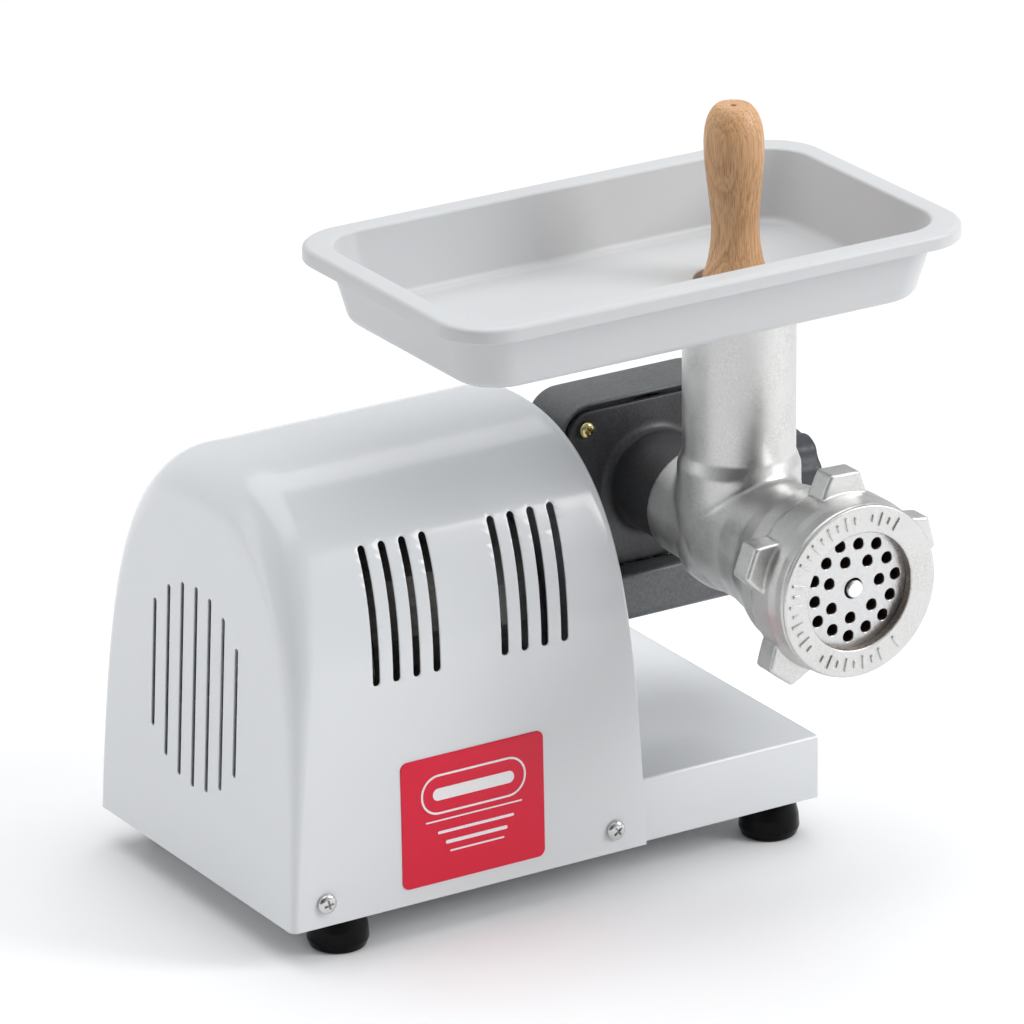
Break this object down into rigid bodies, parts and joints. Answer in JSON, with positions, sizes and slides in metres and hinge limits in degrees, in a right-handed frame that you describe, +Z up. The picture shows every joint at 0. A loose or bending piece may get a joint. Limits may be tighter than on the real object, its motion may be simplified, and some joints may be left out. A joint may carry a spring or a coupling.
{
  "type": "electric meat grinder",
  "caption": "Tabletop electric meat grinder: motor under an arched vented cover, worm gearbox, cast grinding head with ring nut, deep tray and wooden pusher.",
  "frame": {"origin": "bottom centre of the whole machine, on the surface it stands on", "axes": "+X to the operator's right along the motor shaft, +Y back, away from the grinding mouth, +Z up"},
  "size_m": [0.354, 0.3186, 0.413],
  "materials": {
    "white_enamel": "gloss",
    "white_plastic": "satin",
    "black_casting": "textured satin",
    "black_rubber": "semi-gloss",
    "black_plastic": "satin",
    "cast_aluminium": "as cast, bead blasted",
    "steel": "bright",
    "lamination": "stacked sheet",
    "copper": "enamelled wire",
    "bronze": "machined",
    "brass_screw": "bright",
    "wood": "oiled",
    "red_label": "gloss",
    "grey_plastic": "matte"
  },
  "bodies": {
    "machine": {"motor_cover": "white_enamel", "base_pan": "white_enamel", "end_panel": "white_enamel", "gear_housing": "black_casting", "gear_cover": "black_casting", "foot_front_left": "black_rubber", "foot_front_right": "black_rubber", "foot_back_left": "black_rubber", "foot_back_right": "black_rubber", "cable_gland": "black_plastic", "gland_locknut": "black_plastic", "power_switch_housing": "black_plastic", "motor_bell_rear": "cast_aluminium", "motor_bell_front": "cast_aluminium", "motor_cradle": "cast_aluminium", "head_body": "cast_aluminium", "plate_key": "steel", "bearing_rear": "steel", "bearing_front": "steel", "worm_end_bearing": "steel", "capacitor_clamp": "steel", "foot_screw_front_left": "steel", "foot_screw_front_right": "steel", "foot_screw_back_left": "steel", "foot_screw_back_right": "steel", "cover_screw_front_left": "steel", "cover_screw_front_right": "steel", "cover_screw_back_left": "steel", "cover_screw_back_right": "steel", "motor_stator": "lamination", "winding_rear": "copper", "winding_front": "copper", "output_bush_rear": "bronze", "output_bush_front": "bronze", "gear_screw_top_left": "brass_screw", "gear_screw_top_right": "brass_screw", "gear_screw_bottom_left": "brass_screw", "gear_screw_bottom_right": "brass_screw", "label_plate": "red_label", "capacitor": "grey_plastic"},
    "drive": {"worm_wheel": "bronze", "output_shaft": "steel", "auger": "cast_aluminium", "knife": "steel"},
    "rotor": {"motor_shaft": "steel", "rotor_core": "lamination", "cooling_fan": "black_plastic", "worm": "steel"},
    "plate": {"perforated_plate": "steel"},
    "ring": {"ring_nut": "cast_aluminium"},
    "knob": {"lock_knob": "black_plastic", "lock_screw": "steel"},
    "tray": {"tray": "white_plastic"},
    "pusher": {"pusher": "wood"},
    "rocker": {"power_switch_rocker": "black_plastic"}
  },
  "joints": [
    {"name": "output_spin", "type": "hinge", "parent": "machine", "child": "drive", "pos_m": [0.089, 0.05125, 0.184], "axis": [0, 1, 0], "continuous": true},
    {"name": "motor_spin", "type": "hinge", "parent": "machine", "child": "rotor", "pos_m": [-0.027, 0.05125, 0.13], "axis": [1, 0, 0], "continuous": true},
    {"name": "ring_unscrew", "type": "hinge", "parent": "plate", "child": "ring", "pos_m": [0.089, -0.14775, 0.184], "axis": [0, -1, 0], "range_deg": [0, 1080]},
    {"name": "plate_out", "type": "slide", "parent": "machine", "child": "plate", "axis": [0, -1, 0], "range_m": [0, 0.018]},
    {"name": "knob_turn", "type": "hinge", "parent": "machine", "child": "knob", "pos_m": [0.141, 0.00725, 0.184], "axis": [1, 0, 0], "range_deg": [0, 720]},
    {"name": "tray_lift", "type": "slide", "parent": "machine", "child": "tray", "axis": [0, 0, 1], "range_m": [0, 0.08]},
    {"name": "pusher_slide", "type": "slide", "parent": "machine", "child": "pusher", "axis": [0, 0, 1], "range_m": [0, 0.2]},
    {"name": "switch_rock", "type": "hinge", "parent": "machine", "child": "rocker", "pos_m": [-0.132, 0.14852, 0.09], "axis": [1, 0, 0], "range_deg": [0, 18]}
  ],
  "couplings": [
    {"joint": "motor_spin", "follows": "output_spin", "ratio": 24},
    {"joint": "plate_out", "follows": "ring_unscrew", "m_per_rad": 0.00095493}
  ]
}
